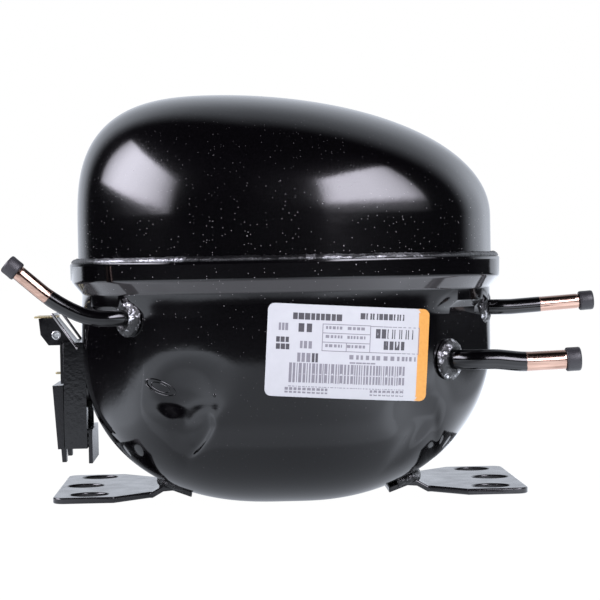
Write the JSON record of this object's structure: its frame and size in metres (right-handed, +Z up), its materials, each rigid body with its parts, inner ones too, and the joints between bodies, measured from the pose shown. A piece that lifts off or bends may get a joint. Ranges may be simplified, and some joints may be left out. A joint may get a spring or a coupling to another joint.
{
  "type": "hermetic reciprocating compressor",
  "caption": "Black hermetic refrigeration compressor: domed welded shells, stamped feet, capped connector tubes, start relay and a sprung motor with a slide-block piston drive inside.",
  "frame": {"origin": "centre of the 170 x 70 mm mounting holes, in the plane of the feet's undersides", "axes": "+X along the body towards the suction and discharge tubes, +Y to the back, +Z up towards the dome"},
  "size_m": [0.2488, 0.1584, 0.1767],
  "materials": {
    "shell_black": "gloss black paint over pressed steel",
    "weld_steel": "rough bright weld bead, part painted",
    "foot_black": "gloss black paint on stamped plate",
    "tube_paint": "black paint, bare copper towards the tip",
    "rubber": "matt moulded rubber",
    "steel": "machined steel",
    "lamination": "stacked electrical steel",
    "cast_iron": "as cast, machined faces",
    "aluminium": "die cast",
    "copper": "enamelled copper wire",
    "glass": "fused glass",
    "housing": "moulded black plastic, light texture",
    "white_plastic": "natural moulded plastic",
    "brass": "plated",
    "label": null,
    "gasket": "fibre gasket"
  },
  "bodies": {
    "shell": {"upper_shell": "shell_black", "lower_shell": "shell_black", "shell_weld_bead": "weld_steel", "left_foot": "foot_black", "right_foot": "foot_black", "suction_tube": "tube_paint", "discharge_tube": "tube_paint", "process_tube": "tube_paint", "suction_collar": "weld_steel", "discharge_collar": "weld_steel", "process_collar": "weld_steel", "terminal_cup": "steel", "terminal_glass_seals": "glass", "terminal_pins": "steel", "terminal_fence": "foot_black", "start_relay": "housing", "overload_protector": "housing", "relay_tabs": "brass", "insulating_plate": "housing", "earth_screw": "brass", "rating_label": "label", "connector_block": "white_plastic", "spring_seats": "steel", "lower_snubbers": "white_plastic", "suspension_springs": "steel", "shock_loop": "copper", "lead_wires": "white_plastic"},
    "motor_unit": {"upper_snubbers": "white_plastic", "stator_core": "lamination", "slot_liners": "white_plastic", "main_winding": "copper", "start_winding": "copper", "stator_bolts": "steel", "cylinder_block": "cast_iron", "thrust_washer": "steel", "cylinder_gasket": "gasket", "valve_plate": "steel", "head_gasket": "gasket", "cylinder_head": "aluminium", "head_bolts": "steel", "reed_stop": "steel", "suction_muffler": "housing", "muffler_lid": "housing", "discharge_covers": "steel", "cover_bolts": "steel"},
    "crank": {"crankshaft": "cast_iron", "counterweight": "cast_iron", "rotor_core": "lamination", "rotor_cage": "aluminium", "oil_pickup": "steel"},
    "gallery_plug": {"oil_gallery_plug": "brass"},
    "slide_block": {"slide_block": "steel"},
    "piston": {"piston_yoke": "cast_iron"},
    "suction_reed": {"suction_reed": "steel"},
    "discharge_reed": {"discharge_reed": "steel"},
    "suction_cap": {"suction_cap": "rubber"},
    "discharge_cap": {"discharge_cap": "rubber"},
    "process_cap": {"process_cap": "rubber"},
    "bail_clip": {"bail_clip": "steel"}
  },
  "joints": [
    {"name": "unit_bounce", "type": "slide", "parent": "shell", "child": "motor_unit", "axis": [0, 0, 1], "range_m": [-0.0025, 0.0025], "stiffness_N_per_m": 9000, "springref_m": 0.00501, "deforming": ["suspension_springs", "shock_loop", "lead_wires"]},
    {"name": "crank_spin", "type": "hinge", "parent": "motor_unit", "child": "crank", "pos_m": [0, 0, 0.1], "axis": [0, 0, 1], "continuous": true},
    {"name": "slide_block_turn", "type": "hinge", "parent": "crank", "child": "slide_block", "pos_m": [0, 0.008, 0.132], "axis": [0, 0, 1], "continuous": true},
    {"name": "gallery_plug_turn", "type": "hinge", "parent": "crank", "child": "gallery_plug", "pos_m": [0, 0.004, 0.0255], "axis": [0, 0, 1], "continuous": true},
    {"name": "piston_stroke", "type": "hinge", "parent": "gallery_plug", "child": "piston", "pos_m": [0, 0, 0.132], "axis": [0, 0, 1], "continuous": true},
    {"name": "suction_reed_lift", "type": "hinge", "parent": "motor_unit", "child": "suction_reed", "pos_m": [-0.04662, 0.0055, 0.1415], "axis": [0, -1, 0], "range_deg": [0, 3.5], "stiffness_Nm_per_rad": 0.0005},
    {"name": "discharge_reed_lift", "type": "hinge", "parent": "motor_unit", "child": "discharge_reed", "pos_m": [-0.04966, -0.0055, 0.1415], "axis": [0, 1, 0], "range_deg": [0, 4.5], "stiffness_Nm_per_rad": 0.0005},
    {"name": "bail_clip_swing", "type": "hinge", "parent": "shell", "child": "bail_clip", "pos_m": [-0.0899, 0, 0.064], "axis": [0, 1, 0], "range_deg": [0, 32]},
    {"name": "suction_pull", "type": "slide", "parent": "shell", "child": "suction_cap", "axis": [0.9994, 0, 0.0349], "range_m": [0, 0.03]},
    {"name": "discharge_pull", "type": "slide", "parent": "shell", "child": "discharge_cap", "axis": [0.9979, 0, 0.0645], "range_m": [0, 0.03]},
    {"name": "process_pull", "type": "slide", "parent": "shell", "child": "process_cap", "axis": [-0.7547, 0, 0.6561], "range_m": [0, 0.03]}
  ],
  "couplings": [
    {"joint": "slide_block_turn", "follows": "crank_spin", "ratio": -1},
    {"joint": "gallery_plug_turn", "follows": "crank_spin", "ratio": -2},
    {"joint": "piston_stroke", "follows": "crank_spin", "ratio": 1}
  ]
}
